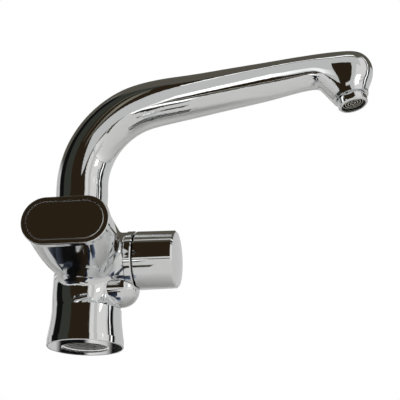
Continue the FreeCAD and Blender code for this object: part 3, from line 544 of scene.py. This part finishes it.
def dome():
    # Soft tent with dark and pale panels, seen only in the metal
    clear_selection()
    bpy.ops.mesh.primitive_uv_sphere_add(segments=96, ring_count=48, radius=DOME_R)
    tent = bpy.context.object
    tent.name = "studio_tent"
    pick_verts(tent, lambda co: co.z < -0.001)
    bpy.ops.mesh.delete(type="VERT")
    bpy.ops.object.mode_set(mode="OBJECT")
    material, tree, glow = glowing("studio_tent")
    x, y, z = along_axes(tree, object_place(tree))
    around = math_node(tree, "ARCTAN2", x, math_node(tree, "MULTIPLY", y, -1.0))
    around = math_node(tree, "MULTIPLY_ADD", around, 1 / math.tau, 0.5)
    uneven = math_node(tree, "SUBTRACT", noise(tree, object_place(tree), 1.6, 2), 0.5)
    around = math_node(tree, "MULTIPLY_ADD", uneven, 0.03, around)
    panels = ramp(tree, around, [(at_angle(spot), colour) for spot, colour in TENT_PANELS])
    height = math_node(tree, "ARCSINE", math_node(tree, "MINIMUM", math_node(tree, "DIVIDE", z, DOME_R), 1.0))
    height = math_node(tree, "DIVIDE", height, math.pi / 2)
    # The dark lid comes further down at the back than in front
    behind = math_node(tree, "GREATER_THAN", y, 0.5)
    start = math_node(tree, "MULTIPLY_ADD", behind, LID_BACK - LID_FRONT, LID_FRONT)
    over = math_node(tree, "DIVIDE", math_node(tree, "SUBTRACT", height, start), LID_SOFTNESS)
    over = math_node(tree, "MAXIMUM", math_node(tree, "MINIMUM", over, 1.0), 0.0)
    tree.links.new(mix_colour(tree, over, panels, OLIVE), glow)
    tent.data.materials.append(material)
    tent.visible_camera = False
    tent.visible_shadow = False


def card(name, corners, stops):
    # Four-cornered sheet of board, seen only in the metal; its colours run along X
    clear_selection()
    bpy.ops.mesh.primitive_plane_add(size=1)
    board = bpy.context.object
    board.name = name
    order = (0, 1, 3, 2)
    for i, corner in zip(order, corners):
        edit(board)
        board.data.vertices[i].select = True
        away = Vector(corner) - board.data.vertices[i].co
        bpy.ops.object.mode_set(mode="EDIT")
        bpy.ops.transform.translate(value=away)
        bpy.ops.object.mode_set(mode="OBJECT")
    first = min(corner[0] for corner in corners)
    length = max(corner[0] for corner in corners) - first
    material, tree, glow = glowing(name)
    run = math_node(tree, "MULTIPLY_ADD", along_axes(tree, object_place(tree))[0], 1 / length, -first / length)
    tree.links.new(ramp(tree, run, stops), glow)
    board.data.materials.append(material)
    board.visible_camera = False
    board.visible_shadow = False
    board.visible_diffuse = False


def upright_card(name, y, x_range, z_range, stops):
    (left, right), (low, high) = x_range, z_range
    card(name, ((left, y, low), (right, y, low), (right, y, high), (left, y, high)), stops)


def deck_card(name, x_range, y_range, stops):
    (left, right), (front, back) = x_range, y_range
    corners = ((left, front), (right, front), (right, back), (left, back))
    card(name, [(*corner, CARD_HEIGHT) for corner in corners], stops)


def arm_card(name, before, ends, stops):
    # Sheet in front of the arm; each end says how far along, how low and how high, in millimetres
    (start, start_low, start_high), (end, end_low, end_high) = ends
    corners = (along_arm(start, before, start_low), along_arm(end, before, end_low),
               along_arm(end, before, end_high), along_arm(start, before, start_high))
    card(name, corners, stops)


def along_arm(along, before, high):
    # A place given along the arm, in front of it and above the deck, in millimetres
    side = Vector((math.cos(SPOUT_SWING), -math.sin(SPOUT_SWING), 0))
    front = Vector((-math.sin(SPOUT_SWING), -math.cos(SPOUT_SWING), 0))
    return Vector((RISER_X, 0, high * MM)) + (side * along + front * before) * MM


def boards():
    pale, bright, olive = plain(PALE), plain(BRIGHT), plain(OLIVE)
    upright_card("brown_board", -0.300, (-0.21, 0.133), (0.04, 0.45), plain(BROWN))
    for letter, ends in (("a", ((15, 135, 160), (74, 169, 210))), ("b", ((74, 169, 210), (150, 181, 275))),
                         ("c", ((150, 181, 275), (184, 172, 420))), ("d", ((184, 211, 420), (270, 222, 420)))):
        arm_card("arm_board_" + letter, ARM_BOARDS_BEFORE, ends, pale)
    dull = [(0.0, PALE), (0.4, OLIVE), (1.0, OLIVE)]
    streak = [(0.0, OLIVE), (0.5, STREAK), (1.0, OLIVE)]
    for name, ends, stops in (
        ("arm_light_a", ((40, 150, 152), (74, 169, 176)), [(0.0, PALE), (1.0, BRIGHT)]),
        ("arm_light_b", ((74, 169, 176), (150, 181, 194)), bright),
        ("arm_light_c", ((150, 181, 194), (184, 182, 190)), [(0.0, BRIGHT), (1.0, PALE)]),
        ("bend_streak", ((8, 152, 158), (48, 206, 222)), streak),
        ("bend_thin_streak", ((0, 160, 162), (40, 225, 229)), streak),
        ("arm_top_light_a", ((74, 208, 211), (150, 262, 278)), bright),
        ("arm_top_light_b", ((150, 262, 278), (260, 340, 460)), bright),
        ("arm_top_dull_a", ((100, 227, 229), (150, 250, 262)), dull),
        ("arm_top_dull_b", ((150, 250, 262), (260, 290, 340)), olive),
    ):
        arm_card(name, ARM_LIGHTS_BEFORE, ends, stops)
    upright_card("nose_light", -0.211, (0.340, 0.520), (0.120, 0.185), plain(LAMP_WHITE))
    upright_card("nose_side_board", -0.290, (0.240, 0.345), (0.0, 0.45), pale)
    deck_card("foot_board_front", (-0.110, 0.014), (-0.075, -0.0285), [
        (0.0, PALE), (0.28, SLATE), (0.48, BLACK), (0.73, BLACK), (0.82, BROWN), (0.89, BROWN), (0.935, NAVY),
        (1.0, SLATE)])
    deck_card("foot_board_left", (-0.0285, -0.013), (-0.0285, -0.013), [
        (0.0, SLATE), (0.35, BLACK), (1.0, BLACK)])
    deck_card("foot_board_right", (0.013, 0.030), (-0.0285, -0.013), [
        (0.0, BLACK), (0.5, SLATE), (0.8, SKY), (1.0, PALE)])
    deck_card("foot_board_side", (-0.060, -0.0285), (-0.0285, 0.010), [
        (0.0, PALE), (0.7, PALE), (0.88, SLATE), (1.0, BLACK)])
    deck_card("front_dark", (-0.140, -0.008), (-0.165, -0.075), [(0.0, SLATE), (0.5, NAVY), (1.0, BROWN)])
    deck_card("front_dark_right", (-0.008, 0.035), (-0.098, -0.075), [(0.0, BROWN), (0.6, BROWN), (1.0, OLIVE)])
    deck_card("deck_dark_line", (-0.30, 0.16), (-0.36, -0.27), olive)
    deck_card("deck_bright_line", (-0.30, 0.0), (-0.27, -0.205), bright)
    deck_card("deck_second_line", (-0.30, 0.01), (-0.205, -0.165), plain(GREEN_GREY))
    upright_card("rim_board", 0.250, (-0.125, -0.025), (-0.085, -0.030), [
        (0.0, PALE), (0.22, PALE), (0.27, BLACK), (0.50, BLACK), (0.56, SOFT_WHITE), (0.72, PALE),
        (0.78, BLACK), (0.9, GREEN_GREY), (1.0, BLACK)])


def deck():
    # Pale deck with the hole that the foot covers; seen from below it lets the camera through
    clear_selection()
    bpy.ops.mesh.primitive_circle_add(vertices=128, radius=FLOOR_R, fill_type="NGON",
                                      location=(0, 0, -FLOOR_DROP))
    floor = bpy.context.object
    floor.name = "deck_floor"
    settle(floor)
    pick_faces(floor, lambda f: True)
    bpy.ops.mesh.inset(thickness=FLOOR_R - DECK_HOLE_R)
    bpy.ops.mesh.delete(type="FACE")
    bpy.ops.object.mode_set(mode="OBJECT")
    material = bpy.data.materials.new("deck_floor")
    material.use_nodes = True
    tree = material.node_tree
    shader = tree.nodes["Principled BSDF"]
    shader.inputs["Roughness"].default_value = 0.8
    shader.inputs["Specular IOR Level"].default_value = 0.1
    tone = noise(tree, object_place(tree), 3, 2)
    tree.links.new(mix_colour(tree, tone, (0.80, 0.80, 0.79), (0.83, 0.83, 0.82)), shader.inputs["Base Color"])
    clear = tree.nodes.new("ShaderNodeBsdfTransparent")
    side = tree.nodes.new("ShaderNodeNewGeometry")
    pick_side = tree.nodes.new("ShaderNodeMixShader")
    tree.links.new(side.outputs["Backfacing"], pick_side.inputs[0])
    tree.links.new(shader.outputs[0], pick_side.inputs[1])
    tree.links.new(clear.outputs[0], pick_side.inputs[2])
    tree.links.new(pick_side.outputs[0], tree.nodes["Material Output"].inputs["Surface"])
    floor.data.materials.append(material)


def world():
    scene_world = bpy.context.scene.world or bpy.data.worlds.new("studio")
    bpy.context.scene.world = scene_world
    scene_world.use_nodes = True
    tree = scene_world.node_tree
    back = tree.nodes["Background"]
    path = tree.nodes.new("ShaderNodeLightPath")
    reflected = math_node(tree, "MAXIMUM", path.outputs["Is Glossy Ray"], path.outputs["Is Transmission Ray"])
    seen = math_node(tree, "MAXIMUM", path.outputs["Is Camera Ray"], reflected)
    tree.links.new(mix_colour(tree, seen, (0.6, 0.6, 0.6), (1.0, 1.0, 1.0)), back.inputs["Color"])
    back.inputs["Strength"].default_value = 1.0


def lamp(name, place, target, size, power):
    data = bpy.data.lights.new(name, "AREA")
    data.shape = "DISK"
    data.size = size
    data.energy = power
    obj = bpy.data.objects.new(name, data)
    bpy.context.scene.collection.objects.link(obj)
    obj.location = place
    obj.rotation_euler = (Vector(target) - Vector(place)).to_track_quat("-Z", "Y").to_euler()
    obj.visible_glossy = False


def camera():
    data = bpy.data.cameras.new("camera")
    data.lens = LENS_MM
    data.sensor_width = SENSOR_MM
    data.clip_start = CLIP_START
    data.clip_end = CLIP_END
    obj = bpy.data.objects.new("camera", data)
    bpy.context.scene.collection.objects.link(obj)
    forward = Vector((-math.sin(CAMERA_YAW) * math.cos(CAMERA_PITCH),
                      math.cos(CAMERA_YAW) * math.cos(CAMERA_PITCH), math.sin(CAMERA_PITCH)))
    level = Vector((math.cos(CAMERA_YAW), math.sin(CAMERA_YAW), 0))
    up = level.cross(forward)
    right = math.cos(CAMERA_ROLL) * level + math.sin(CAMERA_ROLL) * up
    top = math.cos(CAMERA_ROLL) * up - math.sin(CAMERA_ROLL) * level
    turn = Matrix((right, top, -forward)).transposed().to_4x4()
    obj.matrix_world = Matrix.Translation(CAMERA_PLACE) @ turn
    bpy.context.scene.camera = obj


def dress(material, *names):
    for name in names:
        mesh = NODES[name].data if name in NODES else bpy.data.objects[name].data
        mesh.materials.clear()
        mesh.materials.append(material)


def main():
    for old in [o for o in bpy.data.objects if o.type in ("LIGHT", "CAMERA")]:
        bpy.data.objects.remove(old)
    thread_turns("base_thread_turns", MOUNTS["base_thread"], BASE_PITCH, 96, 0.6 * MM)
    for name in ("inlet_cold", "inlet_hot", "outlet_appliance"):
        thread_turns(name + "_turns", MOUNTS[name], PORT_PITCH, 40, 0.5 * MM)
    aerator_sieve()

    chrome = chrome_finish("polished_chrome", *CHROME)
    dress(body_chrome(), "tap_body")
    dress(chrome, "spout_tube", "handle_shell", "valve_collar", "knob", "knob_cap", "aerator_housing")
    dress(trim_chrome(), "handle_plate")
    dress(machined("thread_metal", (0.70, 0.70, 0.69), (0.85, 0.85, 0.83), 0.32, 1.0), "base_thread_turns")
    dress(machined("bare_brass", (0.52, 0.36, 0.14), (0.72, 0.55, 0.28), 0.25, 1.0),
          "inlet_cold_turns", "inlet_hot_turns", "outlet_appliance_turns",
          "cartridge_nut", "cartridge_stem", "valve_headwork", "valve_spindle")
    dress(machined("screw_steel", (0.4, 0.4, 0.41), (0.58, 0.58, 0.58), 0.3),
          "handle_screw", "knob_screw", "spout_screw")
    dress(moulded("dark_plastic", (0.02, 0.02, 0.02), (0.035, 0.035, 0.033), 0.4, 1800),
          "cartridge_base", "cartridge_carrier", "mixing_cartridge")
    dress(grille_rings(), "aerator_grille")
    dress(moulded("white_plastic", (0.75, 0.75, 0.72), (0.82, 0.82, 0.8), 0.35, 1500), "spout_bush")
    dress(moulded("lapped_ceramic", (0.8, 0.79, 0.76), (0.88, 0.88, 0.86), 0.12, 900),
          "cartridge_disc_fixed", "cartridge_disc_moving", "valve_disc_fixed", "valve_disc_moving")
    dress(moulded("black_rubber", (0.012, 0.012, 0.012), (0.03, 0.03, 0.03), 0.6, 1200, 0.3),
          "cartridge_seals", "valve_seal", "spout_rings", "aerator_washer")
    dress(sieve_wire(), "aerator_sieve")

    dome()
    deck()
    boards()
    world()
    lamp("key", (-0.9, -1.4, 1.6), (0.05, 0, 0.1), 1.2, 30)
    lamp("fill", (1.5, -0.8, 1.2), (0.05, 0, 0.1), 1.4, 16)
    camera()
    bpy.context.scene.view_settings.view_transform = "Standard"


main()
